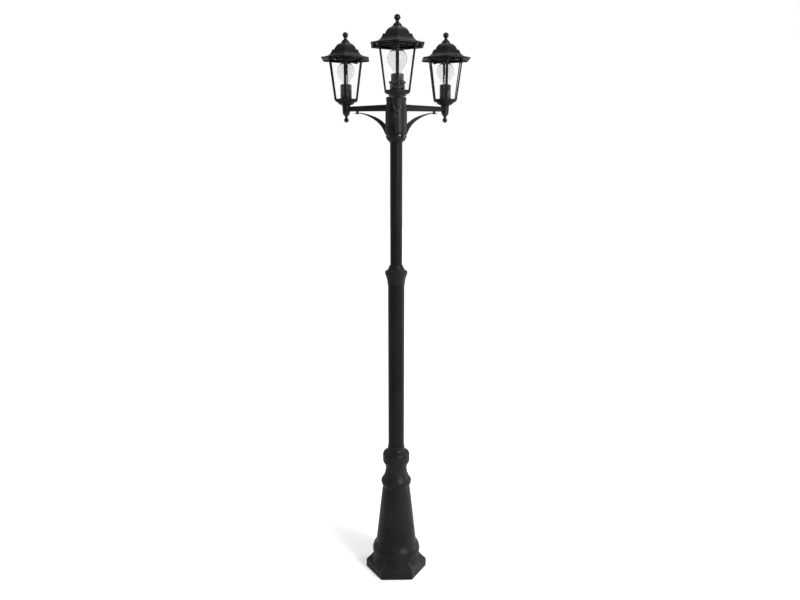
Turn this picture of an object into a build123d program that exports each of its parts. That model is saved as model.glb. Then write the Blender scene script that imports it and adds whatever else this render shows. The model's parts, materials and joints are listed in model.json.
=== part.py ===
"""Garden lamp post with three hexagonal lanterns on short arms. Millimetres, +Z up.

The origin is the centre of the foot, on the ground. The front arm points along -Y, and the other two
stand 120 degrees either side of it. A head's own frame has its X along the arm, away from the post.
"""
from build123d import *
from math import atan2, cos, radians, sin, sqrt, tan
import os

# ---------------------------------------------------------------- driving dimensions
TOP_Z = 1950.0  # top of the lantern finials: the height of the whole post
ARM_REACH = 200.0  # post axis to lantern axis
HEADS = {"front": -90.0, "right": 30.0, "left": 150.0}  # name: direction of the arm in degrees
FLAT = sqrt(3) / 2  # a hexagon's flat distance over its corner radius

FIT = 0.05  # radial gap of a piece in its socket
CLEAR = 0.3  # gap between pieces that part company

# Foot and base bell
FOOT_R = 113.0  # corner radius of the hexagonal foot
FOOT_H = 28.0
FOOT_FLOOR = 7.0  # thickness of the ring floor inside the foot
FOOT_HOLLOW_R = 89.0
CABLE_HOLE_R = 48.0
ANCHOR_PCD = 140.0
ANCHOR_R = 5.5  # clears an M10 anchor rod
ANCHOR_COUNT = 3
BASE_TOP = 488.0
BASE_LEDGE = 382.0  # the lower tube stands on this ledge inside the neck

# Tubes and coupling
LOWER_TUBE_R = 29.0
UPPER_TUBE_R = 21.0
TUBE_WALL = 2.0
COUPLING_BOTTOM = 1087.0
COUPLING_LEDGE = 1121.0  # top of the lower tube
COUPLING_TOP = 1156.0
UPPER_TUBE_BOTTOM = 1100.0

# Hub
HUB_BOTTOM = 1577.0
HUB_R = 36.7
HUB_BORE_R = 31.0
HUB_STOP = 1610.0  # top of the upper tube
PLATE_LEDGE = 1640.0
HUB_TOP = 1716.0
BAND_R = 33.2  # seat of the bead ring
BAND_BOTTOM = 1591.6
BAND_TOP = 1601.6
BEAD_COUNT = 8
BEAD_R = 3.0
BEAD_RHO = 32.8
CAP_RIM_R = 34.4
CAP_RIM_TOP = 1724.0
CAP_CROWN = 1730.5

# Set screws (M5): ring height, radius of the tube they bear on, length
GRUB_RINGS = {
    "base": (398.0, LOWER_TUBE_R, 8.0),
    "coupling_low": (1112.0, LOWER_TUBE_R, 5.0),
    "coupling_high": (1146.0, UPPER_TUBE_R, 5.0),
    "hub": (1587.0, UPPER_TUBE_R, 8.0),
}
GRUB_R = 2.5
GRUB_HEX_R = 1.4
GRUB_COUNT = 3
GRUB_START = 90.0

# Arm: hollow oval, taller at the hub
ARM_NEAR = 36.5  # distance of its full section from the post's axis
ARM_FAR = 190.0
ARM_Z_NEAR = 1691.8
ARM_Z_FAR = 1693.4
ARM_H_NEAR = 22.4
ARM_H_FAR = 16.8
ARM_W_NEAR = 19.0
ARM_W_FAR = 15.0
ARM_WALL = 2.4
PLUG_END = 31.5  # the plug fills the hole in the hub's wall up to here
SPIGOT_R = 7.0  # hollow threaded end inside the hub
SPIGOT_BORE = 4.6
SPIGOT_END = 21.0
NUT_FLAT = 17.0
NUT_NEAR = 25.0
NUT_FAR = 29.0
STEM_BOTTOM = 1682.5
STEM_TOP = 1705.0
STEM_BORE = 10.6
STEM_WEB = 1700.0  # underside of the web that the nipple screws into
STEM_FLOOR = 1689.0
DROP_STUD_R = 3.0

# Bracket under each arm
BRACKET_WIDTH = 9.0
BRACKET_TIP_Z = 1676.4  # underside of its tip
BRACKET_TIP_THICK = 2.6
TIP_SCREW_RHO = 154.0
TIP_BOSS_R = 4.8
M4_R = 1.95
M4_HOLE = 2.01
ROOT_SCREW_Z = 1622.0

# Lantern cage and panes
NIPPLE_R = 5.0
NIPPLE_BORE = 3.5
NIPPLE_HOLE = 5.2
NIPPLE_TOP = 1728.0
TRAY_Z = 1719.0
TRAY_BOTTOM_R = 41.8
TRAY_FLOOR = 1721.5
FRAME_Z = 1722.5  # where the tray's sides start
FRAME_R = 45.2  # corner radius there
RAIL_TOP = 1865.0
RAIL_R = 66.2  # corner radius at the top of the rail
WINDOW_BOTTOM = 1726.5
WINDOW_TOP = 1856.0
BAR_LEG = 5.0  # each corner bar is an angle with two legs this long
BAR_THICK = 1.9
PANE_BOTTOM = 1722.0
PANE_TOP = 1862.0
PANE_THICK = 1.6
PANE_CLEAR = 0.2
LIP_R = 40.2  # inner lip of the tray
LIP_THICK = 1.6
LIP_TOP = 1725.0
LUG_OUT = 74.0
LUG_IN = 55.0
LUG_WIDTH = 9.0
LUG_Z = 1853.4
LUG_H = 4.7

# Roof
BRIM_Z = 1858.4
BRIM_FLAT = 80.5  # axis to the middle of a brim side
ROOF_TOP = 1911.0
ROOF_SCREW_RHO = 69.0
ROOF_SCREW_START = -90.0
ROOF_SCREW_COUNT = 2
ROOF_PAD_Z = 1866.0  # top of the pads under the screw heads
ROOF_PAD_R = 4.2
ROOF_SCREW_HEAD_R = 3.2
ROOF_SCREW_HEAD_H = 6.0
STUD_R = 3.0  # stud of the roof finial
STUD_BOTTOM = 1903.0
BOSS_R = 7.0

# Lampholder and lamp (E27)
HOLDER_R = 19.4
HOLDER_TOP = 1776.0
HOLDER_BORE = 14.6
HOLDER_FLOOR = 1744.0
SKIRT_R = 23.3  # ribbed skirt of the front lampholder
SKIRT_TOP = 1747.0
SHELL_R = 14.5
SHELL_BORE = 13.4
SHELL_BOTTOM = 1750.0
SHELL_TOP = 1773.0
TIP_Z = 1745.6
CAP_BOTTOM = 1752.0
CAP_R = 13.1
CAP_TOP = 1777.0
BULB_R = 30.0
BULB_TOP = 1851.0
GLASS_WALL = 0.9
MOUNT_TOP = 1808.6  # round top of the glass stem
FILAMENT_WIRE = 0.35
FILAMENT_DIP = 1832.6  # where the middle support carries the filament
FILAMENT_ROUTE = (
    (3.1, 1806.2), (17.0, 1832.0), (8.5, 1834.5), (0, FILAMENT_DIP), (-8.5, 1834.5), (-17.0, 1832.0),
    (-3.1, 1806.2),
)
FILAMENT_BEND = 0.9

# Leads inside the arms: distance from the post, height
WIRE_R = 1.8
WIRE_ROUTE = (
    (200, 1726), (200, 1692), (168, 1693.6), (112, 1691.6), (62, 1693.2), (18, 1691.4), (12.5, 1658.4),
)
WIRE_BENDS = (12, 400, 400, 400, 11)
BLOCK_R = 17.0
BLOCK_BOTTOM = 1642.0
BLOCK_TOP = 1658.0
INSERT_RHO = 8.0
INSERT_R = 3.0

os.makedirs("parts", exist_ok=True)


def keep(part, label):
    """Name a finished piece and write its file."""
    part.label = label
    export_step(part, f"parts/{label}.step")


def trace(outline):
    """Draw a closed outline of (radius, height) points; a point marked "arc" is an arc's middle."""
    points = list(outline) + [outline[0]]
    index = 0
    while index < len(points) - 1:
        start = points[index][:2]
        following = points[index + 1]
        if len(following) == 3:
            ThreePointArc(start, following[:2], points[index + 2][:2])
            index += 2
        else:
            Line(start, following)
            index += 1


def crown(radius, edge, top):
    """Middle and end of an arc from (radius, edge) to (0, top), centred on the axis."""
    ball = (radius**2 + (top - edge) ** 2) / (2 * (top - edge))
    half = atan2(radius, ball - (top - edge)) / 2
    return [(ball * sin(half), top - ball + ball * cos(half), "arc"), (0, top)]


def turned(outline, side=Plane.XZ, axis=Axis.Z):
    """Solid of revolution from a closed outline of (radius, height) points."""
    with BuildPart() as solid:
        with BuildSketch(side):
            with BuildLine():
                trace(outline)
            make_face()
        revolve(axis=axis)
    return solid.part


def radial_planes(height, radius, count, start):
    """Planes on a circle about the post, each looking outwards."""
    planes = []
    for index in range(count):
        angle = radians(start + 360 * index / count)
        out = Vector(cos(angle), sin(angle), 0)
        planes.append(Plane(origin=out * radius + Vector(0, 0, height), x_dir=(0, 0, 1), z_dir=out))
    return planes


class Head:
    """Planes and axis of one lantern and its arm."""

    def __init__(self, azimuth):
        self.out = Vector(cos(radians(azimuth)), sin(radians(azimuth)), 0)
        self.centre = self.out * ARM_REACH
        self.axis = Axis(self.centre, (0, 0, 1))
        self.level = Plane(origin=self.centre, x_dir=self.out, z_dir=(0, 0, 1))
        beside = self.out.cross(Vector(0, 0, 1))
        self.side = Plane(origin=self.centre, x_dir=self.out, z_dir=beside)
        self.arm_side = Plane(origin=(0, 0, 0), x_dir=self.out, z_dir=beside)

    def across(self, rho, height=0.0):
        """Plane square to the arm at a distance from the post; local x level, local y up."""
        place = self.out * rho + Vector(0, 0, height)
        return Plane(origin=place, x_dir=Vector(0, 0, 1).cross(self.out), z_dir=self.out)

    def turned(self, outline):
        return turned(outline, self.side, self.axis)

    def side_at(self, angle):
        """Vertical plane through the lantern's axis, turned by an angle from the arm."""
        return Plane(origin=self.centre, x_dir=self.side.x_dir.rotate(Axis.Z, angle),
                     z_dir=self.side.z_dir.rotate(Axis.Z, angle))


# ---------------------------------------------------------------- base
BASE_OUTLINE = (
    (0, 6), (93.5, 6), (93.5, 34), (88.4, 47, "arc"), (85.3, 62), (87.4, 70), (88.2, 80, "arc"),
    (83.6, 96), (78.4, 103), (74.8, 108, "arc"), (73.6, 115), (51.6, 318), (49.8, 324), (50.4, 333),
    (54.4, 341, "arc"), (56.0, 350), (54.6, 356), (43.4, 376, "arc"), (39.2, 396), (40.4, 410, "arc"),
    (43.6, 418), (48.0, 424, "arc"), (49.4, 432), (49.4, 450), (47.4, 460, "arc"), (41.6, 465.5),
    (34.4, 469.5), (32.0, 474), (30.6, 484), (30.6, BASE_TOP), (0, BASE_TOP),
)
BASE_HOLLOW = (
    (0, FOOT_FLOOR), (FOOT_HOLLOW_R, FOOT_FLOOR), (FOOT_HOLLOW_R, 26), (80.4, 58), (82.0, 80), (76.0, 98),
    (69.4, 115), (46.6, 325), (49.0, 346), (38.0, 366), (26.0, 376), (26.0, BASE_LEDGE),
    (LOWER_TUBE_R + FIT, BASE_LEDGE), (LOWER_TUBE_R + FIT, BASE_TOP + 1), (0, BASE_TOP + 1),
)
FOOT_STEPS = (
    (FOOT_H, FOOT_R), (FOOT_H + 6, FOOT_R - 5), (FOOT_H + 18, FOOT_R - 19), (FOOT_H + 31, FOOT_R - 27),
)


def grub_holes(ring):
    """Drills for one ring of set screws."""
    height, tube_radius, length = GRUB_RINGS[ring]
    with BuildPart() as drills:
        with BuildSketch(*radial_planes(height, tube_radius - 1, GRUB_COUNT, GRUB_START)):
            Circle(GRUB_R + FIT)
        extrude(amount=length + 20)
    return drills.part


def base_casting():
    body = turned(BASE_OUTLINE)
    hollow = turned(BASE_HOLLOW)
    drills = grub_holes("base")
    with BuildPart() as base:
        with BuildSketch():
            RegularPolygon(FOOT_R, 6)
        extrude(amount=FOOT_H)
        for (low, low_radius), (high, high_radius) in zip(FOOT_STEPS, FOOT_STEPS[1:]):
            with BuildSketch(Plane.XY.offset(low)):
                RegularPolygon(low_radius, 6)
            with BuildSketch(Plane.XY.offset(high)):
                RegularPolygon(high_radius, 6)
            loft(ruled=True)
        add(body)
        add(hollow, mode=Mode.SUBTRACT)
        with BuildSketch():
            Circle(CABLE_HOLE_R)
            with PolarLocations(ANCHOR_PCD / 2, ANCHOR_COUNT, start_angle=-90):
                Circle(ANCHOR_R)
        extrude(amount=FOOT_FLOOR, mode=Mode.SUBTRACT)
        add(drills, mode=Mode.SUBTRACT)
    return base.part


# ---------------------------------------------------------------- tubes, coupling, hub
def tube(radius, bottom, top):
    with BuildPart() as pipe:
        with BuildSketch(Plane.XY.offset(bottom)):
            Circle(radius)
            Circle(radius - TUBE_WALL, mode=Mode.SUBTRACT)
        extrude(amount=top - bottom)
    return pipe.part


def mid_coupling():
    low_bore = LOWER_TUBE_R + FIT
    high_bore = UPPER_TUBE_R + FIT
    body = turned((
        (low_bore, COUPLING_BOTTOM), (30.4, COUPLING_BOTTOM), (31.4, 1098), (33.2, 1107.5), (34.8, 1112.5),
        (35.9, 1117), (38.2, 1122.6), (39.6, 1127), (39.6, 1133.6), (38.4, 1135.4), (30.8, 1140),
        (27.6, 1146), (24.8, 1151.5), (23.4, COUPLING_TOP), (high_bore, COUPLING_TOP),
        (high_bore, COUPLING_LEDGE), (low_bore, COUPLING_LEDGE),
    ))
    drills = [grub_holes("coupling_low"), grub_holes("coupling_high")]
    with BuildPart() as coupling:
        add(body)
        add(drills, mode=Mode.SUBTRACT)
    return coupling.part


def hub_casting():
    drum = turned((
        (0, HUB_BOTTOM), (22.9, HUB_BOTTOM), (24.4, 1580), (28.4, 1582.8), (31.6, 1586.8),
        (BAND_R, BAND_BOTTOM), (BAND_R, BAND_TOP), (35.6, 1603.4), (HUB_R, 1611), (HUB_R, 1690),
        (34.6, 1701.5), (33.2, 1704.5), (33.2, HUB_TOP), (0, HUB_TOP),
    ))
    hollow = turned((
        (0, HUB_BOTTOM - 1), (UPPER_TUBE_R + FIT, HUB_BOTTOM - 1), (UPPER_TUBE_R + FIT, HUB_STOP),
        (UPPER_TUBE_R - TUBE_WALL, HUB_STOP), (UPPER_TUBE_R - TUBE_WALL, HUB_STOP + 3), (28.0, HUB_STOP + 3),
        (28.0, PLATE_LEDGE), (HUB_BORE_R, PLATE_LEDGE), (HUB_BORE_R, HUB_TOP + 1), (0, HUB_TOP + 1),
    ))
    drills = grub_holes("hub")
    with BuildPart() as hub:
        add(drum)
        add(hollow, mode=Mode.SUBTRACT)
        for head in heads.values():
            with BuildSketch(head.across(PLUG_END - 4, ARM_Z_NEAR)):
                Ellipse(ARM_W_NEAR / 2 + FIT, ARM_H_NEAR / 2 + FIT)
            extrude(amount=12, mode=Mode.SUBTRACT)
            with BuildSketch(head.across(26, ROOT_SCREW_Z)):
                Circle(M4_HOLE)
            extrude(amount=12, mode=Mode.SUBTRACT)
        add(drills, mode=Mode.SUBTRACT)
    return hub.part


def bead_ring():
    band = turned((
        (BAND_R + FIT, BAND_BOTTOM + 0.2), (34.6, BAND_BOTTOM + 0.2),
        (35.1, (BAND_BOTTOM + BAND_TOP) / 2, "arc"), (34.6, BAND_TOP - 0.2), (BAND_R + FIT, BAND_TOP - 0.2),
    ))
    with BuildPart() as ring:
        add(band)
        with Locations(Plane.XY.offset((BAND_BOTTOM + BAND_TOP) / 2)):
            with PolarLocations(BEAD_RHO, BEAD_COUNT, start_angle=-90):
                Sphere(BEAD_R)
        with BuildSketch(Plane.XY.offset(BAND_BOTTOM - 1)):
            Circle(BAND_R + FIT)
        extrude(amount=BAND_TOP - BAND_BOTTOM + 2, mode=Mode.SUBTRACT)
    return ring.part


def hub_cap():
    return turned((
        (0, 1713.5), (27.6, 1713.5), (27.6, 1708), (HUB_BORE_R - 0.1, 1708), (HUB_BORE_R - 0.1, HUB_TOP),
        (CAP_RIM_R, HUB_TOP), (CAP_RIM_R, CAP_RIM_TOP), *crown(CAP_RIM_R, CAP_RIM_TOP, CAP_CROWN),
    ))


def tube_grub_screws():
    with BuildPart() as screws:
        for height, tube_radius, length in GRUB_RINGS.values():
            with BuildSketch(*radial_planes(height, tube_radius + FIT, GRUB_COUNT, GRUB_START)):
                Circle(GRUB_R)
            extrude(amount=length - 2)
            mouth = tube_radius + FIT + length - 2
            with BuildSketch(*radial_planes(height, mouth, GRUB_COUNT, GRUB_START)):
                Circle(GRUB_R)
                RegularPolygon(GRUB_HEX_R, 6, mode=Mode.SUBTRACT)
            extrude(amount=2)
    return screws.part


# ---------------------------------------------------------------- wiring inside the hub
def terminal_plate():
    with BuildPart() as plate:
        with BuildSketch(Plane.XY.offset(PLATE_LEDGE)):
            Circle(HUB_BORE_R - 0.3)
            Circle(10, mode=Mode.SUBTRACT)
            with Locations((0, 23)):
                Circle(M4_HOLE, mode=Mode.SUBTRACT)
        extrude(amount=BLOCK_BOTTOM - PLATE_LEDGE)
    return plate.part


def terminal_block():
    with BuildPart() as block:
        with BuildSketch(Plane.XY.offset(BLOCK_BOTTOM)):
            Circle(BLOCK_R)
            with PolarLocations(INSERT_RHO, 3, start_angle=90):
                Circle(INSERT_R + FIT, mode=Mode.SUBTRACT)
        extrude(amount=BLOCK_TOP - BLOCK_BOTTOM)
        chamfer(block.faces().sort_by(Axis.Z)[-1].outer_wire().edges(), 1)
    return block.part


def terminal_inserts():
    with BuildPart() as inserts:
        with BuildSketch(Plane.XY.offset(BLOCK_BOTTOM + 1)):
            with PolarLocations(INSERT_RHO, 3, start_angle=90):
                Circle(INSERT_R)
                Circle(1.6, mode=Mode.SUBTRACT)
        extrude(amount=BLOCK_TOP - BLOCK_BOTTOM - 2)
    return inserts.part


def earth_screw():
    with BuildPart() as screw:
        with BuildSketch(Plane.XY.offset(PLATE_LEDGE - 6)):
            with Locations((0, 23)):
                Circle(M4_R)
        extrude(amount=6 + BLOCK_BOTTOM - PLATE_LEDGE)
        with BuildSketch(Plane.XY.offset(BLOCK_BOTTOM)):
            with Locations((0, 23)):
                Circle(3.8)
                Rectangle(1.0, 8, mode=Mode.SUBTRACT)
        extrude(amount=2.6)
        with BuildSketch(Plane.XY.offset(BLOCK_BOTTOM)):
            with Locations((0, 23)):
                Circle(3.8)
        extrude(amount=1.4)
    return screw.part


def arm_wires():
    with BuildPart() as wires:
        for head in heads.values():
            with BuildLine(head.arm_side) as route:
                FilletPolyline(*WIRE_ROUTE, radius=WIRE_BENDS)
            with BuildSketch(head.level.offset(WIRE_ROUTE[0][1])):
                Circle(WIRE_R)
            sweep(path=route.line)
    return wires.part


# ---------------------------------------------------------------- arms and brackets
def arm_oval(head, rho, inset=0.0):
    """Sketch of the arm's section at its near or far end."""
    near = rho < (ARM_NEAR + ARM_FAR) / 2
    width, tall, height = (ARM_W_NEAR, ARM_H_NEAR, ARM_Z_NEAR) if near else (ARM_W_FAR, ARM_H_FAR, ARM_Z_FAR)
    with BuildSketch(head.across(rho, height)) as oval:
        Ellipse(width / 2 - inset, tall / 2 - inset)
    return oval.sketch


def arm_envelope(head):
    """The arm's tapered outside, as a full solid."""
    near = arm_oval(head, ARM_NEAR)
    far = arm_oval(head, ARM_FAR)
    with BuildPart() as envelope:
        loft([near, far], ruled=True)
    return envelope.part


def arm(head, envelope):
    boss = head.turned((
        (0, STEM_BOTTOM), (12.9, STEM_BOTTOM), (13.6, 1696, "arc"), (14.2, STEM_TOP), (0, STEM_TOP),
    ))
    near_hollow = arm_oval(head, ARM_NEAR + 4, ARM_WALL)
    far_hollow = arm_oval(head, ARM_FAR, ARM_WALL)
    with BuildPart() as casting:
        add(envelope)
        add(boss)
        with BuildSketch(head.across(PLUG_END, ARM_Z_NEAR)):
            Ellipse(ARM_W_NEAR / 2, ARM_H_NEAR / 2)
        extrude(amount=ARM_NEAR - PLUG_END)
        with BuildSketch(head.across(SPIGOT_END, ARM_Z_NEAR)):
            Circle(SPIGOT_R)
        extrude(amount=PLUG_END - SPIGOT_END)
        loft([near_hollow, far_hollow], ruled=True, mode=Mode.SUBTRACT)
        with BuildSketch(head.across(SPIGOT_END, ARM_Z_NEAR)):
            Circle(SPIGOT_BORE)
        extrude(amount=ARM_NEAR + 5 - SPIGOT_END, mode=Mode.SUBTRACT)
        with BuildSketch(head.level.offset(STEM_FLOOR)):
            Circle(STEM_BORE)
        extrude(amount=STEM_WEB - STEM_FLOOR, mode=Mode.SUBTRACT)
        with BuildSketch(head.level.offset(STEM_WEB)):
            Circle(NIPPLE_R + FIT)
        extrude(amount=STEM_TOP - STEM_WEB, mode=Mode.SUBTRACT)
        with BuildSketch(head.level.offset(STEM_BOTTOM)):
            Circle(DROP_STUD_R + FIT)
        extrude(amount=STEM_FLOOR - STEM_BOTTOM, mode=Mode.SUBTRACT)
        with BuildSketch(Plane(origin=head.out * TIP_SCREW_RHO + Vector(0, 0, STEM_BOTTOM))):
            Circle(M4_HOLE)
        extrude(amount=STEM_FLOOR - STEM_BOTTOM, mode=Mode.SUBTRACT)
    return casting.part


def arm_nuts():
    with BuildPart() as nuts:
        for head in heads.values():
            with BuildSketch(head.across(NUT_NEAR, ARM_Z_NEAR)):
                RegularPolygon(NUT_FLAT / 2, 6, major_radius=False)
                Circle(SPIGOT_R + FIT, mode=Mode.SUBTRACT)
            extrude(amount=NUT_FAR - NUT_NEAR)
    return nuts.part


def bracket(head, envelope):
    """Arched strip from the foot of the hub out to a screw under the arm."""
    tip_top = BRACKET_TIP_Z + BRACKET_TIP_THICK
    with BuildPart() as strip:
        with BuildSketch(head.arm_side):
            with BuildLine():
                trace((
                    (30, 1604), (40.6, 1604), (54.0, 1628, "arc"), (80.4, 1651.8), (108, 1666.2, "arc"),
                    (144, BRACKET_TIP_Z), (163, BRACKET_TIP_Z), (163, tip_top), (140, tip_top),
                    (106, 1671.2, "arc"), (76, 1660.4), (54, 1647, "arc"), (36, 1631), (30, 1631),
                ))
            make_face()
        extrude(amount=BRACKET_WIDTH / 2, both=True)
        with BuildSketch(Plane(origin=head.out * TIP_SCREW_RHO + Vector(0, 0, BRACKET_TIP_Z))):
            Circle(TIP_BOSS_R)
        extrude(amount=ARM_Z_FAR - 4 - BRACKET_TIP_Z)
        add(envelope, mode=Mode.SUBTRACT)
        with BuildSketch(Plane.XY.offset(1590)):
            Circle(HUB_R + FIT)
        extrude(amount=60, mode=Mode.SUBTRACT)
        with BuildSketch(Plane(origin=head.out * TIP_SCREW_RHO + Vector(0, 0, BRACKET_TIP_Z))):
            Circle(M4_HOLE)
        extrude(amount=12, mode=Mode.SUBTRACT)
        with BuildSketch(head.across(HUB_R - 2, ROOT_SCREW_Z)):
            Circle(M4_HOLE)
        extrude(amount=8, mode=Mode.SUBTRACT)
    return strip.part


def bracket_screws():
    """Per bracket: one screw up into the arm at the tip, and one outwards through the hub at the root."""
    with BuildPart() as screws:
        for head in heads.values():
            tip = Plane(origin=head.out * TIP_SCREW_RHO + Vector(0, 0, BRACKET_TIP_Z))
            with BuildSketch(tip.offset(-1.8)):
                Circle(3.6)
            extrude(amount=1.8)
            with BuildSketch(tip):
                Circle(M4_R)
            extrude(amount=11)
            with BuildSketch(head.across(25.4, ROOT_SCREW_Z)):
                Circle(3.6)
            extrude(amount=1.8)
            with BuildSketch(head.across(27.2, ROOT_SCREW_Z)):
                Circle(M4_R)
            extrude(amount=13)
    return screws.part


def drop_finials():
    return [head.turned((
        (0, 1647.6), (8.5, 1656.1, "arc"), (5.1, 1662.9), (4.9, 1666), (7.2, 1671.4), (11.6, 1676.2, "arc"),
        (12.9, STEM_BOTTOM), (DROP_STUD_R, STEM_BOTTOM), (DROP_STUD_R, STEM_FLOOR - 0.5), (0, STEM_FLOOR - 0.5),
    )) for head in heads.values()]


# ---------------------------------------------------------------- lantern
def galleries():
    return [head.turned((
        (NIPPLE_HOLE, STEM_TOP), (14.4, STEM_TOP), (18.2, 1707.4), (26.4, 1710.8), (27.6, 1714.4),
        (31.6, 1716.0), (32.8, TRAY_Z), (29.6, TRAY_Z), (28.8, 1717.6), (24.8, 1716.4), (23.6, 1713.0),
        (16.0, 1709.6), (NIPPLE_HOLE, 1709.0),
    )) for head in heads.values()]


def holder_nipples():
    with BuildPart() as nipples:
        for head in heads.values():
            with BuildSketch(head.level.offset(STEM_WEB + 0.5)):
                Circle(NIPPLE_R)
                Circle(NIPPLE_BORE, mode=Mode.SUBTRACT)
            extrude(amount=NIPPLE_TOP - STEM_WEB - 0.5)
            with BuildSketch(head.level.offset(1724)):
                RegularPolygon(7.0, 6, major_radius=False)
                Circle(NIPPLE_BORE, mode=Mode.SUBTRACT)
            extrude(amount=2.5)
    return nipples.part


def frame_corner(height):
    """Corner radius of the cage's slanting sides at a height."""
    return FRAME_R + (RAIL_R - FRAME_R) * (height - FRAME_Z) / (RAIL_TOP - FRAME_Z)


def cage(head):
    inset = BAR_THICK / FLAT
    with BuildPart() as frame:
        with BuildSketch(head.level.offset(FRAME_Z)):
            RegularPolygon(FRAME_R, 6)
        with BuildSketch(head.level.offset(RAIL_TOP)):
            RegularPolygon(RAIL_R, 6)
        loft(ruled=True)
        with BuildSketch(head.level.offset(FRAME_Z)):
            RegularPolygon(FRAME_R - inset, 6)
        with BuildSketch(head.level.offset(RAIL_TOP)):
            RegularPolygon(RAIL_R - inset, 6)
        loft(ruled=True, mode=Mode.SUBTRACT)
        for side in range(6):
            turn = 60 * side + 30
            for height in (WINDOW_BOTTOM, WINDOW_TOP):
                corner = frame_corner(height)
                with BuildSketch(head.level.offset(height)):
                    with PolarLocations(corner * FLAT, 1, start_angle=turn):
                        Rectangle(12, corner - 2 * BAR_LEG)
            loft(ruled=True, mode=Mode.SUBTRACT)
        with BuildSketch(head.level.offset(TRAY_Z)):
            RegularPolygon(TRAY_BOTTOM_R, 6)
        with BuildSketch(head.level.offset(FRAME_Z)):
            RegularPolygon(FRAME_R, 6)
        loft(ruled=True)
        with BuildSketch(head.level.offset(TRAY_FLOOR)):
            RegularPolygon(FRAME_R - inset, 6)
            RegularPolygon(LIP_R, 6, mode=Mode.SUBTRACT)
        extrude(amount=FRAME_Z - TRAY_FLOOR, mode=Mode.SUBTRACT)
        with BuildSketch(head.level.offset(TRAY_FLOOR)):
            RegularPolygon(LIP_R - LIP_THICK, 6)
        extrude(amount=FRAME_Z - TRAY_FLOOR, mode=Mode.SUBTRACT)
        with BuildSketch(head.level.offset(FRAME_Z)):
            RegularPolygon(LIP_R, 6)
            RegularPolygon(LIP_R - LIP_THICK, 6, mode=Mode.SUBTRACT)
        extrude(amount=LIP_TOP - FRAME_Z)
        with BuildSketch(head.level.offset(TRAY_Z)):
            Circle(NIPPLE_HOLE)
        extrude(amount=TRAY_FLOOR - TRAY_Z, mode=Mode.SUBTRACT)
        with BuildSketch(head.level.offset(LUG_Z)):
            with PolarLocations((LUG_OUT + LUG_IN) / 2, ROOF_SCREW_COUNT, start_angle=ROOF_SCREW_START):
                RectangleRounded(LUG_OUT - LUG_IN, LUG_WIDTH, 2)
        extrude(amount=LUG_H)
        with BuildSketch(head.level.offset(LUG_Z)):
            with PolarLocations(ROOF_SCREW_RHO, ROOF_SCREW_COUNT, start_angle=ROOF_SCREW_START):
                Circle(M4_HOLE)
        extrude(amount=LUG_H, mode=Mode.SUBTRACT)
    return frame.part


def panes(head):
    with BuildPart() as glass:
        for side in range(6):
            turn = 60 * side + 30
            for height in (PANE_BOTTOM, PANE_TOP):
                outer = frame_corner(height) * FLAT - BAR_THICK - PANE_CLEAR
                half = (outer - PANE_THICK) * tan(radians(30)) - 2 * PANE_CLEAR
                with BuildSketch(head.level.offset(height)):
                    with PolarLocations(outer - PANE_THICK / 2, 1, start_angle=turn):
                        Rectangle(PANE_THICK, 2 * half)
            loft(ruled=True)
    return glass.part


ROOF_OUTSIDE = (
    (0, BRIM_Z), (BRIM_FLAT, BRIM_Z), (BRIM_FLAT, 1862.4), (70.0, 1864.6), (60.5, 1867.8),
    (51.2, 1875.0, "arc"), (45.0, 1886.8), (44.0, 1889.4), (37.2, 1890.6), (31.0, 1902.4, "arc"),
    (20.5, ROOF_TOP), (0, ROOF_TOP),
)
ROOF_INSIDE = (
    (0, BRIM_Z - 1), (78.4, BRIM_Z - 1), (78.4, 1860.6), (69.6, 1862.4), (59.4, 1865.6),
    (49.2, 1873.6, "arc"), (42.8, 1885.4), (42.0, 1887.2), (35.4, 1888.4), (28.8, 1900.6, "arc"),
    (19.6, 1908.4), (0, 1908.4),
)


def six_sided(head, outline):
    """Solid whose six sides all follow one outline of (flat distance, height) points."""
    mirrored = [(-point[0],) + tuple(point[1:]) for point in reversed(outline) if point[0] > 0]
    rim = [point for point in outline if point[0] > 0]
    with BuildPart() as solid:
        for turn, mode in ((30, Mode.ADD), (90, Mode.INTERSECT), (150, Mode.INTERSECT)):
            with BuildSketch(head.side_at(turn)):
                with BuildLine():
                    trace(rim + mirrored)
                make_face()
            extrude(amount=2 * BRIM_FLAT, both=True, mode=mode)
    return solid.part


def roof(head):
    outside = six_sided(head, ROOF_OUTSIDE)
    inside = six_sided(head, ROOF_INSIDE)
    with BuildPart() as shell:
        add(outside)
        add(inside, mode=Mode.SUBTRACT)
        with BuildSketch(head.level.offset(STUD_BOTTOM)):
            Circle(BOSS_R)
        extrude(amount=ROOF_TOP - 1 - STUD_BOTTOM)
        with BuildSketch(head.level.offset(BRIM_Z)):
            with PolarLocations(ROOF_SCREW_RHO, ROOF_SCREW_COUNT, start_angle=ROOF_SCREW_START):
                Circle(ROOF_PAD_R)
        extrude(amount=ROOF_PAD_Z - BRIM_Z)
        with BuildSketch(head.level.offset(BRIM_Z)):
            with PolarLocations(ROOF_SCREW_RHO, ROOF_SCREW_COUNT, start_angle=ROOF_SCREW_START):
                Circle(M4_HOLE)
        extrude(amount=ROOF_PAD_Z - BRIM_Z, mode=Mode.SUBTRACT)
        with BuildSketch(head.level.offset(STUD_BOTTOM)):
            Circle(STUD_R + FIT)
        extrude(amount=ROOF_TOP - STUD_BOTTOM, mode=Mode.SUBTRACT)
    return shell.part


def roof_finial(head):
    return head.turned((
        (0, STUD_BOTTOM + 1), (STUD_R, STUD_BOTTOM + 1), (STUD_R, ROOF_TOP), (17.8, ROOF_TOP), (17.8, 1913.6),
        (14.8, 1915.4), (13.8, 1918.4), (11.2, 1922.2, "arc"), (6.9, 1924.8), (5.5, 1928.0), (5.3, 1931.0),
        (7.0, 1933.6), (9.3, 1936.4), (10.0, 1939.4, "arc"), (9.4, 1942.4), *crown(9.4, 1942.4, TOP_Z),
    ))


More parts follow.
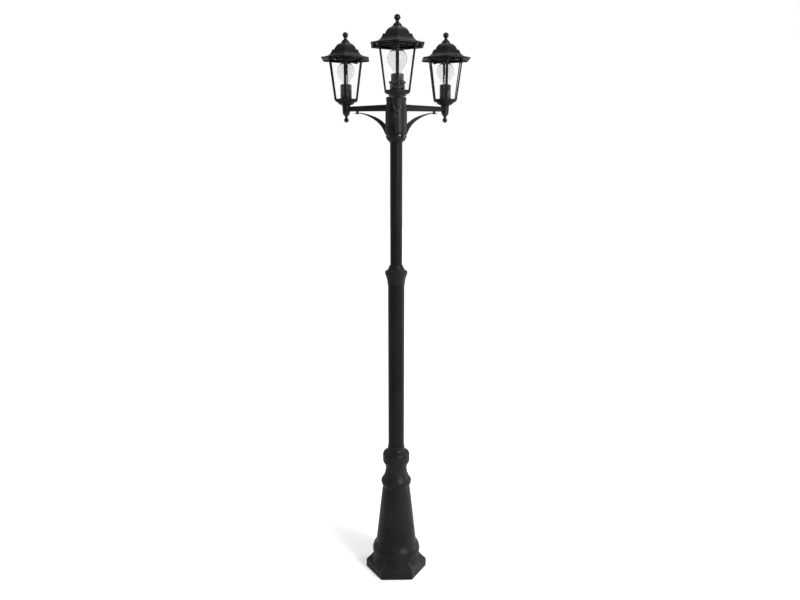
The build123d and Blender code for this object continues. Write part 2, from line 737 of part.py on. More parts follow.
def roof_screws(head):
    with BuildPart() as screws:
        with BuildSketch(head.level.offset(LUG_Z - 1)):
            with PolarLocations(ROOF_SCREW_RHO, ROOF_SCREW_COUNT, start_angle=ROOF_SCREW_START):
                Circle(M4_R)
        extrude(amount=ROOF_PAD_Z - LUG_Z + 1)
        with BuildSketch(head.level.offset(ROOF_PAD_Z)):
            with PolarLocations(ROOF_SCREW_RHO, ROOF_SCREW_COUNT, start_angle=ROOF_SCREW_START):
                Circle(ROOF_SCREW_HEAD_R)
        extrude(amount=ROOF_SCREW_HEAD_H)
    return screws.part


# ---------------------------------------------------------------- lampholder and lamp
def holder_body(head, skirted):
    ribs = []
    for rib in range(4):
        low = TRAY_FLOOR + 1.5 + 6 * rib
        ribs += [(SKIRT_R - 0.9, low), (SKIRT_R, low + 1.4), (SKIRT_R, low + 3.2), (SKIRT_R - 0.9, low + 4.6)]
    skirt = [(SKIRT_R - 0.9, TRAY_FLOOR)] + ribs + [(SKIRT_R - 0.9, SKIRT_TOP)] if skirted else []
    return head.turned([
        (NIPPLE_HOLE, TRAY_FLOOR), *(skirt or [(HOLDER_R + 0.4, TRAY_FLOOR)]), (HOLDER_R, SKIRT_TOP + 0.4),
        (HOLDER_R, HOLDER_TOP - 1.4), (HOLDER_R - 1.4, HOLDER_TOP), (HOLDER_BORE, HOLDER_TOP),
        (HOLDER_BORE, HOLDER_FLOOR), (0, HOLDER_FLOOR), (0, HOLDER_FLOOR - 4), (15.5, HOLDER_FLOOR - 4),
        (15.5, TRAY_FLOOR + 2.5), (NIPPLE_HOLE, TRAY_FLOOR + 2.5),
    ])


def holder_ring(head):
    bore = HOLDER_R + FIT
    return head.turned((
        (bore, SKIRT_TOP + 1), (25.4, SKIRT_TOP + 1), (26.0, 1750.6, "arc"), (25.0, 1753.4), (bore, 1756),
    ))


def holder_shells():
    return [head.turned((
        (SHELL_BORE, SHELL_BOTTOM), (SHELL_R, SHELL_BOTTOM), (SHELL_R, SHELL_TOP), (SHELL_BORE, SHELL_TOP),
    )) for head in heads.values()]


def holder_contacts():
    return [head.turned((
        (0, HOLDER_FLOOR), (4.5, HOLDER_FLOOR), (4.0, HOLDER_FLOOR + 1.0),
        (2.0, TIP_Z - CLEAR), (0, TIP_Z - CLEAR),
    )) for head in heads.values()]


def bulb_tip(head):
    top = CAP_BOTTOM - CLEAR
    return head.turned(((0, TIP_Z), (3.4, TIP_Z), (4.6, TIP_Z + 1.4), (9.6, top), (0, top)))


def bulb_cap(head):
    return head.turned((
        (8.6, CAP_BOTTOM), (10.4, CAP_BOTTOM), (CAP_R, CAP_BOTTOM + 3), (CAP_R, CAP_TOP),
        (CAP_R - 0.6, CAP_TOP), (CAP_R - 0.6, CAP_BOTTOM + 3.3), (10.1, CAP_BOTTOM + 0.6),
        (8.6, CAP_BOTTOM + 0.6),
    ))


def glass_line(inset):
    """Half outline of the lamp's glass from its neck to its top, drawn in by an inset."""
    neck = CAP_R - 0.8 - inset
    middle_z = BULB_TOP - BULB_R
    wide = BULB_R - inset
    return [
        (neck, CAP_TOP - 9), (neck, CAP_TOP + 0.6), (15.4 - inset, 1787.6, "arc"), (20.6 - inset, 1797.4),
        (27.6 - inset, 1808.6, "arc"), (wide, middle_z),
        (wide * sin(radians(45)), middle_z + wide * cos(radians(45)), "arc"), (0, middle_z + wide),
    ]


def bulb_glass(head):
    outer = glass_line(0)
    inner = glass_line(GLASS_WALL)
    with BuildPart() as glass:
        add(head.turned(outer + [(0, CAP_TOP - 9)]))
        add(head.turned([(inner[0][0], CAP_TOP - 10)] + inner[1:] + [(0, CAP_TOP - 10)]), mode=Mode.SUBTRACT)
    return glass.part


def bulb_mount(head):
    """Glass stem that carries the filament; its flare closes the neck."""
    return head.turned((
        (0, 1768.4), (10.9, 1768.4), (10.9, 1769.4), (4.6, 1776.0, "arc"), (3.0, 1784.0), (2.6, 1803.0),
        (3.6, 1805.0), *crown(3.6, 1805.0, MOUNT_TOP),
    ))


def bulb_filament(head):
    """Lead-in wires with the filament strung between them, held up in its middle by a support."""
    with BuildPart() as wires:
        with BuildLine(head.side) as route:
            FilletPolyline(*FILAMENT_ROUTE, radius=FILAMENT_BEND)
        with BuildSketch(Plane(origin=route.line @ 0, z_dir=route.line % 0)):
            Circle(FILAMENT_WIRE)
        sweep(path=route.line)
        with BuildSketch(head.level.offset(MOUNT_TOP - 1)):
            Circle(FILAMENT_WIRE)
        extrude(amount=FILAMENT_DIP - MOUNT_TOP + 1)
    return wires.part


def group(solids):
    """One node of several separate solids."""
    return Compound(children=solids)


# ---------------------------------------------------------------- the whole post
heads = {name: Head(azimuth) for name, azimuth in HEADS.items()}

keep(base_casting(), "base_casting")
keep(tube(LOWER_TUBE_R, BASE_LEDGE, COUPLING_LEDGE), "lower_tube")
keep(mid_coupling(), "mid_coupling")
keep(tube(UPPER_TUBE_R, UPPER_TUBE_BOTTOM, HUB_STOP), "upper_tube")
keep(hub_casting(), "hub_casting")
keep(bead_ring(), "bead_ring")
keep(hub_cap(), "hub_cap")
keep(tube_grub_screws(), "tube_grub_screws")
keep(terminal_plate(), "terminal_plate")
keep(terminal_block(), "terminal_block")
keep(terminal_inserts(), "terminal_inserts")
keep(earth_screw(), "earth_screw")
keep(arm_wires(), "arm_wires")
keep(arm_nuts(), "arm_nuts")
keep(bracket_screws(), "bracket_screws")
keep(group(drop_finials()), "drop_finials")
keep(group(galleries()), "galleries")
keep(holder_nipples(), "holder_nipples")
keep(group(holder_shells()), "holder_shells")
keep(group(holder_contacts()), "holder_contacts")
keep(holder_ring(heads["front"]), "holder_ring_front")
for name, head in heads.items():
    envelope = arm_envelope(head)
    keep(arm(head, envelope), f"arm_{name}")
    keep(bracket(head, envelope), f"bracket_{name}")
    keep(cage(head), f"cage_{name}")
    keep(panes(head), f"panes_{name}")
    keep(holder_body(head, name == "front"), f"holder_body_{name}")
    keep(roof(head), f"roof_{name}")
    keep(roof_finial(head), f"roof_finial_{name}")
    keep(roof_screws(head), f"roof_screws_{name}")
    keep(bulb_tip(head), f"bulb_tip_{name}")
    keep(bulb_cap(head), f"bulb_cap_{name}")
    keep(bulb_glass(head), f"bulb_glass_{name}")
    keep(bulb_mount(head), f"bulb_mount_{name}")
    keep(bulb_filament(head), f"bulb_filament_{name}")
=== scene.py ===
"""The look of the garden lamp post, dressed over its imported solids. Metres, +Z up, in the row's frame."""
import json
from math import cos, pi, radians, sin, sqrt, tau

import bpy
from mathutils import Matrix, Vector


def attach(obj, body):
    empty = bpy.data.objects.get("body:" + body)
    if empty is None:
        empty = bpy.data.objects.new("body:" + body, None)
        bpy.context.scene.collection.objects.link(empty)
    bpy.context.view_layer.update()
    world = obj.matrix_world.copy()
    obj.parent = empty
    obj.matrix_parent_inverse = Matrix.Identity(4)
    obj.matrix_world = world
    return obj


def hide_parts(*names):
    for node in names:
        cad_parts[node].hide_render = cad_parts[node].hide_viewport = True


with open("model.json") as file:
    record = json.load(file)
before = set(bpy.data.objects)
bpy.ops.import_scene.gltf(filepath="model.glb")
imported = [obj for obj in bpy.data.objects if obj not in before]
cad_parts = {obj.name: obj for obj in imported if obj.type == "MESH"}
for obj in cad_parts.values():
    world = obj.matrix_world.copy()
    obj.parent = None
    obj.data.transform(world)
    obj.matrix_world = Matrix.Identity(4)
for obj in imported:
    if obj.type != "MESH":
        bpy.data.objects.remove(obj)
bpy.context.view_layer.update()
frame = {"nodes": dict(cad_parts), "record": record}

MM = 0.001

# ---------------------------------------------------------------- camera
SENSOR_MM = 36.0
IMAGE_WIDTH = 800
FOCAL_PX = 705.8
POST_AXIS_PX = 396.2  # column of the picture that the post's axis stands on
CAMERA_BACK = 2.458
CAMERA_UP = 1.501
CAMERA_TURN = radians(1.0)
CAMERA_DIP = radians(10.82)


def add_camera():
    data = bpy.data.cameras.new("camera")
    data.sensor_width = SENSOR_MM
    data.lens = FOCAL_PX * SENSOR_MM / IMAGE_WIDTH
    data.shift_x = (IMAGE_WIDTH / 2 - POST_AXIS_PX) / IMAGE_WIDTH
    camera = bpy.data.objects.new("camera", data)
    camera.location = (-CAMERA_BACK * sin(CAMERA_TURN), -CAMERA_BACK * cos(CAMERA_TURN), CAMERA_UP)
    camera.rotation_euler = (pi / 2 - CAMERA_DIP, 0, -CAMERA_TURN)
    bpy.context.scene.collection.objects.link(camera)
    bpy.context.scene.camera = camera


# ---------------------------------------------------------------- materials
EVEN = (1, 1, 1)
EDGE_ALIKE, FACE_ALIKE = 0.86, 0.985  # rounded normal against plain one, on an edge and on an open face
RUBBED_COAT = (0.036, 0.036, 0.039)
RUBBED_GLOSS = (0.04, 0.04, 0.04)
RUBBED_METAL = (0.85, 0.84, 0.8)
DUST = (0.12, 0.117, 0.112)


class Finish:
    """A material on one Principled shader, with layers made from the piece's own coordinates."""

    def __init__(self, name, colour, roughness, metallic=0.0, **sockets):
        self.material = bpy.data.materials.new(name)
        self.material.use_nodes = True
        self.tree = self.material.node_tree
        self.shader = self.tree.nodes["Principled BSDF"]
        self.colour = colour
        self.set("Base Color", (*colour, 1.0))
        self.set("Roughness", roughness)
        self.set("Metallic", metallic)
        for socket, value in sockets.items():
            self.set(socket.replace("_", " ").title().replace("Ior", "IOR"), value)
        self.place = self.node("ShaderNodeTexCoord").outputs["Object"]
        self.rounded = None

    def set(self, socket, value):
        self.shader.inputs[socket].default_value = value

    def node(self, kind, inputs=None, **settings):
        made = self.tree.nodes.new(kind)
        for key, value in settings.items():
            setattr(made, key, value)
        for key, value in (inputs or {}).items():
            if isinstance(value, bpy.types.NodeSocket):
                self.tree.links.new(value, made.inputs[key])
            else:
                made.inputs[key].default_value = value
        return made

    def noise(self, scale, detail=3.0, stretch=EVEN):
        place = self.node("ShaderNodeVectorMath", {0: self.place, 1: stretch}, operation="MULTIPLY")
        texture = self.node("ShaderNodeTexNoise", {
            "Vector": place.outputs[0], "Scale": scale, "Detail": detail,
        })
        return texture.outputs["Fac"]

    def spread(self, value, low, high, start=0.35, end=0.65):
        """Value's range from start to end, stretched to low and high."""
        return self.node("ShaderNodeMapRange", {
            "Value": value, "From Min": start, "From Max": end, "To Min": low, "To Max": high,
        }).outputs["Result"]

    def times(self, first, second):
        return self.node("ShaderNodeMath", {0: first, 1: second}, operation="MULTIPLY").outputs[0]

    def mixed(self, factor, first, second):
        mix = self.node("ShaderNodeMix", {"Factor": factor, 6: first, 7: second}, data_type="RGBA")
        return mix.outputs[2]

    def edges(self, radius):
        """1 along edges and 0 on the open faces. The edges are shaded as if rounded to the radius."""
        self.rounded = self.node("ShaderNodeBevel", {"Radius": radius}, samples=4).outputs["Normal"]
        plain = self.node("ShaderNodeNewGeometry").outputs["Normal"]
        alike = self.node("ShaderNodeVectorMath", {0: self.rounded, 1: plain}, operation="DOT_PRODUCT")
        return self.spread(alike.outputs["Value"], 1.0, 0.0, EDGE_ALIKE, FACE_ALIKE)

    def upward(self):
        """1 on faces that look up, where dust settles."""
        normal = self.node("ShaderNodeNewGeometry").outputs["Normal"]
        height = self.node("ShaderNodeSeparateXYZ", {0: normal}).outputs["Z"]
        return self.spread(height, 0.0, 1.0, 0.3, 1.0)

    def vary_colour(self, scale, low, high, tint=EVEN):
        """Two shades of the finish's colour in soft patches, as the first colour layer."""
        shades = [(*(share * part * hue for part, hue in zip(self.colour, tint)), 1.0)
                  for share in (low, high)]
        factor = self.spread(self.noise(scale), 0.0, 1.0)
        self.layer(self.mixed(factor, *shades))

    def layer(self, socket):
        self.tree.links.new(socket, self.shader.inputs["Base Color"])
        self.top = socket

    def cover(self, factor, colour):
        """Lay another colour over the colour layers so far."""
        self.layer(self.mixed(factor, self.top, (*colour, 1.0)))

    def vary_roughness(self, scale, low, high):
        self.tree.links.new(self.spread(self.noise(scale), low, high), self.shader.inputs["Roughness"])

    def grain(self, layers):
        """Bumps of (scale, depth, stretch), one over the other, on top of the rounded edges."""
        normal = self.rounded
        for scale, depth, stretch in layers:
            inputs = {"Height": self.noise(scale, 2.0, stretch), "Distance": depth, "Strength": 1.0}
            if normal:
                inputs["Normal"] = normal
            normal = self.node("ShaderNodeBump", inputs).outputs["Normal"]
        self.tree.links.new(normal, self.shader.inputs["Normal"])


def powder_coat(name, colour, roughness, grain_depth, gloss, edge_radius=1.1):
    """Satin black coat: fine orange peel, uneven sheen, a little dust on top and rubbed edges."""
    coat = Finish(name, colour, roughness, specular_ior_level=gloss)
    coat.vary_colour(9.0, 0.75, 1.35, (1.0, 1.0, 1.03))
    worn = coat.times(coat.edges(edge_radius * MM), coat.spread(coat.noise(60.0), 0.0, 0.4, 0.45, 0.7))
    coat.cover(worn, RUBBED_COAT)
    dusty = coat.times(coat.upward(), coat.spread(coat.noise(35.0), 0.0, 0.06))
    coat.cover(dusty, DUST)
    coat.vary_roughness(45.0, roughness - 0.05, roughness + 0.07)
    coat.grain([(900.0, grain_depth * MM, EVEN), (260.0, 2 * grain_depth * MM, EVEN)])
    return coat.material


def gloss_coat(name, colour):
    """Smooth black coat with a thin clear layer, for the finials and the ring of beads."""
    coat = Finish(name, colour, 0.16, specular_ior_level=0.2, coat_weight=0.08, coat_roughness=0.07)
    coat.vary_colour(30.0, 0.8, 1.25)
    worn = coat.times(coat.edges(0.5 * MM), coat.spread(coat.noise(120.0), 0.0, 0.3))
    coat.cover(worn, RUBBED_GLOSS)
    coat.vary_roughness(80.0, 0.12, 0.22)
    coat.grain([(500.0, 0.01 * MM, EVEN)])
    return coat.material


def bare_metal(name, colour, roughness):
    """Metal in slightly uneven colour, brighter where its edges are rubbed."""
    metal = Finish(name, colour, roughness, 1.0)
    metal.vary_colour(70.0, 0.85, 1.08)
    worn = metal.times(metal.edges(0.4 * MM), metal.spread(metal.noise(200.0), 0.1, 0.5))
    metal.cover(worn, RUBBED_METAL)
    metal.vary_roughness(220.0, roughness - 0.06, roughness + 0.1)
    metal.grain([(700.0, 0.012 * MM, EVEN)])
    return metal.material


def moulded(name, colour, roughness, grain_depth=0.02, gloss=0.5):
    """Moulded plastic or rubber, a paler shade of its own colour on rubbed edges."""
    plastic = Finish(name, colour, roughness, specular_ior_level=gloss)
    plastic.vary_colour(40.0, 0.85, 1.15)
    worn = plastic.times(plastic.edges(0.4 * MM), plastic.spread(plastic.noise(150.0), 0.0, 0.4))
    plastic.cover(worn, tuple(min(1.0, 2.2 * part + 0.02) for part in colour))
    plastic.vary_roughness(90.0, roughness - 0.06, roughness + 0.08)
    plastic.grain([(1400.0, grain_depth * MM, EVEN)])
    return plastic.material


def clear_glass(name, colour, roughness, wave, ior=1.46):
    glass = Finish(name, colour, roughness, transmission_weight=1.0, ior=ior)
    glass.vary_colour(25.0, 0.985, 1.0)
    glass.vary_roughness(30.0, roughness, roughness + 0.01)
    glass.grain([(22.0, wave * MM, EVEN)])
    return glass.material


def make_materials():
    return {
        "coat_cast": powder_coat("coat_cast", (0.0122, 0.0124, 0.0132), 0.4, 0.02, 0.1),
        "coat_tube": powder_coat("coat_tube", (0.0085, 0.0086, 0.0092), 0.38, 0.014, 0.08),
        "coat_lantern": powder_coat("coat_lantern", (0.0125, 0.0127, 0.0134), 0.36, 0.014, 0.08, 0.8),
        "coat_gloss": gloss_coat("coat_gloss", (0.006, 0.006, 0.0064)),
        "black_screw": bare_metal("black_screw", (0.05, 0.05, 0.053), 0.35),
        "zinc_steel": bare_metal("zinc_steel", (0.62, 0.62, 0.60), 0.34),
        "pane_glass": clear_glass("pane_glass", (0.99, 0.993, 0.993), 0.0, 0.002, 1.12),
        "lamp_glass": clear_glass("lamp_glass", (0.88, 0.885, 0.89), 0.08, 0.01, 1.12),
        "stem_glass": clear_glass("stem_glass", (0.9, 0.91, 0.92), 0.12, 0.05),
        "lamp_cap": bare_metal("lamp_cap", (0.82, 0.80, 0.75), 0.26),
        "tungsten": bare_metal("tungsten", (0.3, 0.29, 0.28), 0.3),
        "black_insulator": moulded("black_insulator", (0.02, 0.02, 0.024), 0.2),
        "holder_plastic": moulded("holder_plastic", (0.02, 0.02, 0.0212), 0.45, 0.006, 0.2),
        "brass": bare_metal("brass", (0.80, 0.58, 0.25), 0.26),
        "block_plastic": moulded("block_plastic", (0.78, 0.76, 0.70), 0.35),
        "lead_sheath": moulded("lead_sheath", (0.16, 0.16, 0.17), 0.45),
    }


def dress(piece, material):
    piece.data.materials.clear()
    piece.data.materials.append(material)


def dress_cad_nodes(materials):
    for part in frame["record"]["subparts"]:
        dress(frame["nodes"][part["node"]], materials[part["material_slot"]])


# ---------------------------------------------------------------- studio
FILL = (0.25, 0.25, 0.255, 1.0)
WHITE = (1.0, 1.0, 1.0, 1.0)
PAPER = (0.86, 0.86, 0.86, 1.0)
FLOOR_SIZE = 30.0
FLOOR_GLOW = 0.4  # the floor's own light near the foot
FLOOR_FAR_GLOW = 1.0  # and far off, where it meets the white background
GLOW_START = 0.15  # distance from the post's axis at which the glow begins to rise
GLOW_END = 1.1
MIRRORED_WHITE = 0.35  # how much of the white surroundings shows in reflections


def plain_nodes(owner):
    owner.use_nodes = True
    owner.node_tree.nodes.clear()
    return owner.node_tree.nodes, owner.node_tree.links


def background_rays(nodes, links):
    """1 for camera and transmission rays, less for what the coats mirror, 0 for the rest."""
    path = nodes.new("ShaderNodeLightPath")
    total = path.outputs["Is Camera Ray"]
    for ray, share in (("Is Glossy Ray", MIRRORED_WHITE), ("Is Transmission Ray", 1.0)):
        add = nodes.new("ShaderNodeMath")
        add.operation = "MULTIPLY_ADD"
        add.use_clamp = True
        links.new(path.outputs[ray], add.inputs[0])
        add.inputs[1].default_value = share
        links.new(total, add.inputs[2])
        total = add.outputs[0]
    return total


def add_world():
    world = bpy.data.worlds.new("studio")
    bpy.context.scene.world = world
    nodes, links = plain_nodes(world)
    fill = nodes.new("ShaderNodeBackground")
    fill.inputs["Color"].default_value = FILL
    white = nodes.new("ShaderNodeBackground")
    white.inputs["Color"].default_value = WHITE
    choose = nodes.new("ShaderNodeMixShader")
    links.new(background_rays(nodes, links), choose.inputs[0])
    links.new(fill.outputs[0], choose.inputs[1])
    links.new(white.outputs[0], choose.inputs[2])
    output = nodes.new("ShaderNodeOutputWorld")
    links.new(choose.outputs[0], output.inputs["Surface"])


def add_floor():
    mesh = bpy.data.meshes.new("floor")
    half = FLOOR_SIZE / 2
    corners = [(-half, -half, 0), (half, -half, 0), (half, half, 0), (-half, half, 0)]
    mesh.from_pydata(corners, [], [(0, 1, 2, 3)])
    floor = bpy.data.objects.new("floor", mesh)
    bpy.context.scene.collection.objects.link(floor)
    paper = bpy.data.materials.new("floor")
    nodes, links = plain_nodes(paper)
    matt = nodes.new("ShaderNodeBsdfDiffuse")
    matt.inputs["Color"].default_value = PAPER
    glow = nodes.new("ShaderNodeEmission")
    place = nodes.new("ShaderNodeTexCoord")
    distance = nodes.new("ShaderNodeVectorMath")
    distance.operation = "LENGTH"
    links.new(place.outputs["Object"], distance.inputs[0])
    ramp = nodes.new("ShaderNodeMapRange")
    ramp.interpolation_type = "SMOOTHSTEP"
    for socket, value in (("From Min", GLOW_START), ("From Max", GLOW_END), ("To Min", FLOOR_GLOW),
                          ("To Max", FLOOR_FAR_GLOW)):
        ramp.inputs[socket].default_value = value
    links.new(distance.outputs["Value"], ramp.inputs["Value"])
    lift = nodes.new("ShaderNodeMath")
    lift.operation = "MULTIPLY"
    links.new(ramp.outputs["Result"], lift.inputs[1])
    links.new(background_rays(nodes, links), lift.inputs[0])
    links.new(lift.outputs[0], glow.inputs["Strength"])
    both = nodes.new("ShaderNodeAddShader")
    links.new(matt.outputs[0], both.inputs[0])
    links.new(glow.outputs[0], both.inputs[1])
    output = nodes.new("ShaderNodeOutputMaterial")
    links.new(both.outputs[0], output.inputs["Surface"])
    mesh.materials.append(paper)


def add_soft_light(name, place, aim, size, power):
    data = bpy.data.lights.new(name, "AREA")
    data.shape = "RECTANGLE"
    data.size, data.size_y = size
    data.energy = power
    light = bpy.data.objects.new(name, data)
    light.location = place
    light.rotation_euler = (Vector(aim) - Vector(place)).to_track_quat("-Z", "Y").to_euler()
    bpy.context.scene.collection.objects.link(light)


def add_lights():
    add_soft_light("key", (2.3, -2.7, 2.5), (0, 0, 1.3), (1.2, 1.8), 150)
    add_soft_light("left_edge", (-2.4, 0.5, 1.3), (0, 0, 1.0), (0.5, 2.6), 9)
    add_soft_light("right_edge", (2.4, 0.7, 1.3), (0, 0, 1.0), (0.5, 2.6), 30)
    add_soft_light("top", (0.3, 0.8, 4.2), (0, 0, 1.0), (2.2, 2.2), 25)


# ---------------------------------------------------------------- threads, screws and wires, in millimetres
HEADS = {"front": -90.0, "right": 30.0, "left": 150.0}
ARM_REACH = 200.0
CAP_SEGMENTS = 48
SCREW_SEGMENTS = 24
SCREW_ROWS = 5  # rows of faces in one turn of a screw's thread
SHARP_ANGLE = radians(40)

LAMP_PITCH = 3.629
LAMP_CREST = 13.1
LAMP_CUT = 1.0
LAMP_CUT_AT_NECK = 0.6  # the glass stands inside the upper turns
THREAD_ROWS = 10  # rows of faces in one turn of the lamp's thread
THREAD_FADE_ROWS = 4  # rows over which the lamp's thread runs out at each end
THREAD_BOTTOM, NECK_BOTTOM, THREAD_TOP = 1755.4, 1767.0, 1772.6
CAP_FOOT = ((8.7, 1752.0), (10.4, 1752.0), (12.4, 1753.9), (12.9, 1754.8))  # (radius, height)
CAP_RIM = ((LAMP_CREST, 1776.7), (12.9, 1777.0))
CAP_INSIDE = ((12.45, 1777.0), (12.4, 1767.4), (11.6, 1767.0), (11.6, 1755.6), (9.9, 1752.7), (8.7, 1752.6))

M4_PITCH = 0.7
M4_CREST = 1.95
M4_CUT = 0.3
CROWN_OF_HEIGHT, CROWN_OF_RADIUS = 0.55, 0.5  # a head's dome, as shares of the head
CROWN_RINGS = (0.03, 0.1, 0.15, 0.25, 0.35, 0.45, 0.53, 0.6, 0.75, 0.88, 0.96)  # shares of its radius
RECESS_ARM, RECESS_HALF, RECESS_DEPTH = 1.7, 0.42, 1.1
# The roof screws' rho is taken from the lantern's axis, the bracket screws' from the post's.
ROOF_SCREWS = {"rho": 69.0, "seat": 1866.0, "angles": (-90, 90)}
ROOF_SCREW_SHAPE = {"head_r": 3.2, "head_h": 6.0, "length": 13.6}
TIP_SCREW = {"rho": 154.0, "seat": 1676.4}
TIP_SCREW_SHAPE = {"head_r": 3.6, "head_h": 1.8, "length": 11.0}
ROOT_SCREW = {"rho": 27.2, "height": 1622.0}
ROOT_SCREW_SHAPE = {"head_r": 3.6, "head_h": 1.8, "length": 13.0}

LEAD_RADIUS = 0.3
SUPPORT_THICKNESS = 0.6  # share of a lead's
COIL_WIRE = 0.1
COIL_RADIUS = 0.5
COIL_TURNS = 52
COIL_STEPS = 10
FILAMENT_HOOKS = ((-17.0, 1832.0), (-8.5, 1834.5), (0.0, 1832.6), (8.5, 1834.5), (17.0, 1832.0))
LEAD = ((3.1, 1806.2), (17.0, 1832.4))  # (distance from the lamp's axis, height) of its two ends
SUPPORT = ((0.0, 1807.6), (0.0, 1833.0))
JUST_UNDER = 1e-6


def head_frame(name):
    """A head's own frame: X along its arm, origin under the lantern's axis."""
    return Matrix.Rotation(radians(HEADS[name]), 4, "Z") @ Matrix.Translation((ARM_REACH, 0, 0))


def add_piece(name, data, body, node, slot):
    """Put a detailed piece in the place of a CAD node."""
    piece = bpy.data.objects.new(name, data)
    bpy.context.scene.collection.objects.link(piece)
    data.materials.append(MATERIALS[slot])
    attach(piece, body)
    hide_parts(node)


def lathe(rows, place, pitch, segments, recess=None):
    """Turned skin through (radius, height, thread depth) rows, closed flat at both ends."""
    verts, faces = [], []
    for radius, height, depth in rows:
        for step in range(segments):
            angle = tau * step / segments
            out = radius - depth * (0.5 - 0.5 * cos(tau * height / pitch - angle))
            point = Vector((out * cos(angle), out * sin(angle), height))
            if recess:
                point.z -= recess(point)
            verts.append(place @ point * MM)
    last = (len(rows) - 1) * segments
    for low in range(0, last, segments):
        for step in range(segments):
            beside = (step + 1) % segments
            faces.append((low + step, low + beside, low + segments + beside, low + segments + step))
    faces.append(tuple(reversed(range(segments))))
    faces.append(tuple(range(last, last + segments)))
    return verts, faces


def mesh_of(name, shapes):
    """One mesh of several (points, faces) shapes, smooth but for its sharp edges."""
    verts, faces = [], []
    for points, sides in shapes:
        faces += [tuple(corner + len(verts) for corner in side) for side in sides]
        verts += points
    mesh = bpy.data.meshes.new(name)
    mesh.from_pydata(verts, [], faces)
    mesh.validate()
    mesh.shade_smooth()
    mesh.set_sharp_from_angle(angle=SHARP_ANGLE)
    return mesh


def lamp_cap_rows():
    """Lathe rows of a lamp's cap, up its threaded outside and down its plain inside."""
    rows = [(radius, height, 0) for radius, height in CAP_FOOT]
    last_row = int((THREAD_TOP - THREAD_BOTTOM) / LAMP_PITCH * THREAD_ROWS)
    for row in range(last_row + 1):
        height = THREAD_BOTTOM + (THREAD_TOP - THREAD_BOTTOM) * row / last_row
        fade = min(1.0, row / THREAD_FADE_ROWS, (last_row - row) / THREAD_FADE_ROWS)
        rows.append((LAMP_CREST, height, fade * (LAMP_CUT if height < NECK_BOTTOM else LAMP_CUT_AT_NECK)))
    return rows + [(radius, height, 0) for radius, height in CAP_RIM + CAP_INSIDE]


def cross_recess(point):
    """Depth of a screw head's cross slot at a point."""
    across, along = sorted((abs(point.x), abs(point.y)))
    return RECESS_DEPTH if point.z > 0 and across < RECESS_HALF and along < RECESS_ARM else 0.0


def screw(place, head_r, head_h, length):
    """Pan head with a cross slot, its seat at height 0, over a threaded shank."""
    crown = min(CROWN_OF_HEIGHT * head_h, CROWN_OF_RADIUS * head_r)
    rows = [(share * head_r, head_h - crown * (1 - sqrt(1 - share**2)), 0) for share in CROWN_RINGS]
    rows += [(head_r, head_h - crown, 0), (head_r, 0.0, 0), (M4_CREST, 0.0, 0)]
    last_row = int(length / M4_PITCH * SCREW_ROWS)
    for row in range(last_row + 1):
        fade = min(1.0, row / SCREW_ROWS, (last_row - row) / SCREW_ROWS)
        rows.append((M4_CREST, -length * row / last_row, M4_CUT * fade))
    verts, faces = lathe(rows, place, M4_PITCH, SCREW_SEGMENTS, cross_recess)
    return verts, [tuple(reversed(face)) for face in faces]


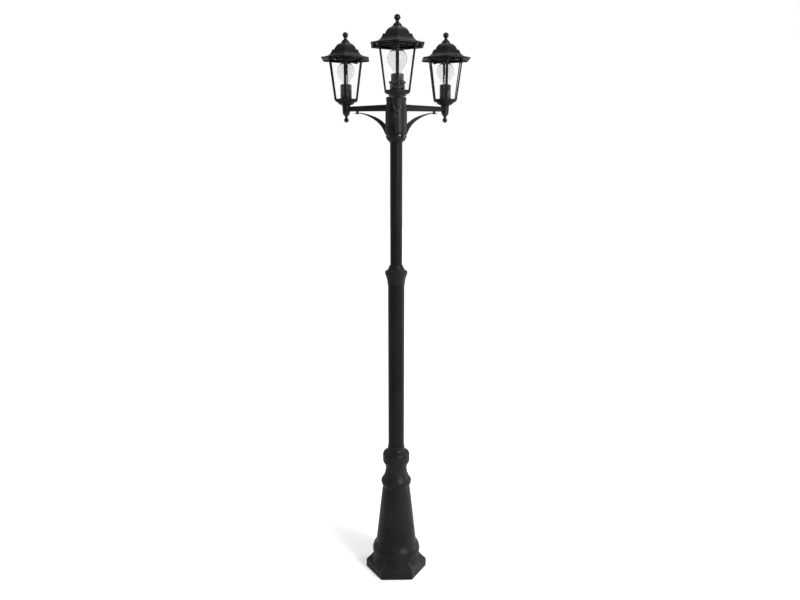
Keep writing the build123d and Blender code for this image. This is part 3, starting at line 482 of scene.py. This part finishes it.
def add_screws():
    for name in HEADS:
        shapes = []
        for angle in ROOF_SCREWS["angles"]:
            turn = Matrix.Rotation(radians(angle), 4, "Z")
            place = head_frame(name) @ turn @ Matrix.Translation((ROOF_SCREWS["rho"], 0, ROOF_SCREWS["seat"]))
            shapes.append(screw(place, **ROOF_SCREW_SHAPE))
        node = f"roof_screws_{name}"
        add_piece(f"pan_screws_{name}", mesh_of(node, shapes), f"roof_{name}", node, "black_screw")
    shapes = []
    for azimuth in HEADS.values():
        turn = Matrix.Rotation(radians(azimuth), 4, "Z")
        tip = turn @ Matrix.Translation((TIP_SCREW["rho"], 0, TIP_SCREW["seat"]))
        root = turn @ Matrix.Translation((ROOT_SCREW["rho"], 0, ROOT_SCREW["height"]))
        shapes.append(screw(tip @ Matrix.Rotation(pi, 4, "X"), **TIP_SCREW_SHAPE))
        shapes.append(screw(root @ Matrix.Rotation(-pi / 2, 4, "Y"), **ROOT_SCREW_SHAPE))
    mesh = mesh_of("bracket_screws", shapes)
    add_piece("bracket_pan_screws", mesh, "post", "bracket_screws", "black_screw")


def add_lamp_details():
    for name in HEADS:
        cap = mesh_of(f"cap_{name}", [lathe(lamp_cap_rows(), head_frame(name), LAMP_PITCH, CAP_SEGMENTS)])
        add_piece(f"threaded_cap_{name}", cap, f"lamp_{name}", f"bulb_cap_{name}", "lamp_cap")
        wires = bpy.data.curves.new(f"filament_{name}", "CURVE")
        wires.dimensions = "3D"
        wires.bevel_depth = LEAD_RADIUS * MM
        wires.bevel_resolution = 1
        wires.use_fill_caps = True
        for side in (-1, 1):
            add_wire(wires, name, [(side * out, 0, height) for out, height in LEAD], 1.0)
        add_wire(wires, name, [(out, 0, height) for out, height in SUPPORT], SUPPORT_THICKNESS)
        add_wire(wires, name, coil_points(), COIL_WIRE / LEAD_RADIUS)
        add_piece(f"coiled_filament_{name}", wires, f"lamp_{name}", f"bulb_filament_{name}", "tungsten")


def add_wire(curve, head, points, thickness):
    """A round wire through points in a head's own frame, its thickness a share of a lead's."""
    spline = curve.splines.new("POLY")
    spline.points.add(len(points) - 1)
    for corner, place in zip(spline.points, points):
        corner.co = (*(head_frame(head) @ Vector(place) * MM), 1.0)
        corner.radius = thickness


def coil_points():
    """Helix round the line that the filament hangs in."""
    points = []
    spans = len(FILAMENT_HOOKS) - 1
    for step in range(COIL_TURNS * COIL_STEPS + 1):
        along = min(step / (COIL_TURNS * COIL_STEPS) * spans, spans - JUST_UNDER)
        (x0, z0), (x1, z1) = FILAMENT_HOOKS[int(along)], FILAMENT_HOOKS[int(along) + 1]
        part = along - int(along)
        angle = tau * step / COIL_STEPS
        points.append((x0 + (x1 - x0) * part, COIL_RADIUS * cos(angle),
                       z0 + (z1 - z0) * part + COIL_RADIUS * sin(angle)))
    return points


# ---------------------------------------------------------------- the scene
bpy.context.scene.view_settings.view_transform = "Standard"
add_camera()
add_world()
add_floor()
add_lights()
MATERIALS = make_materials()
dress_cad_nodes(MATERIALS)
add_screws()
add_lamp_details()
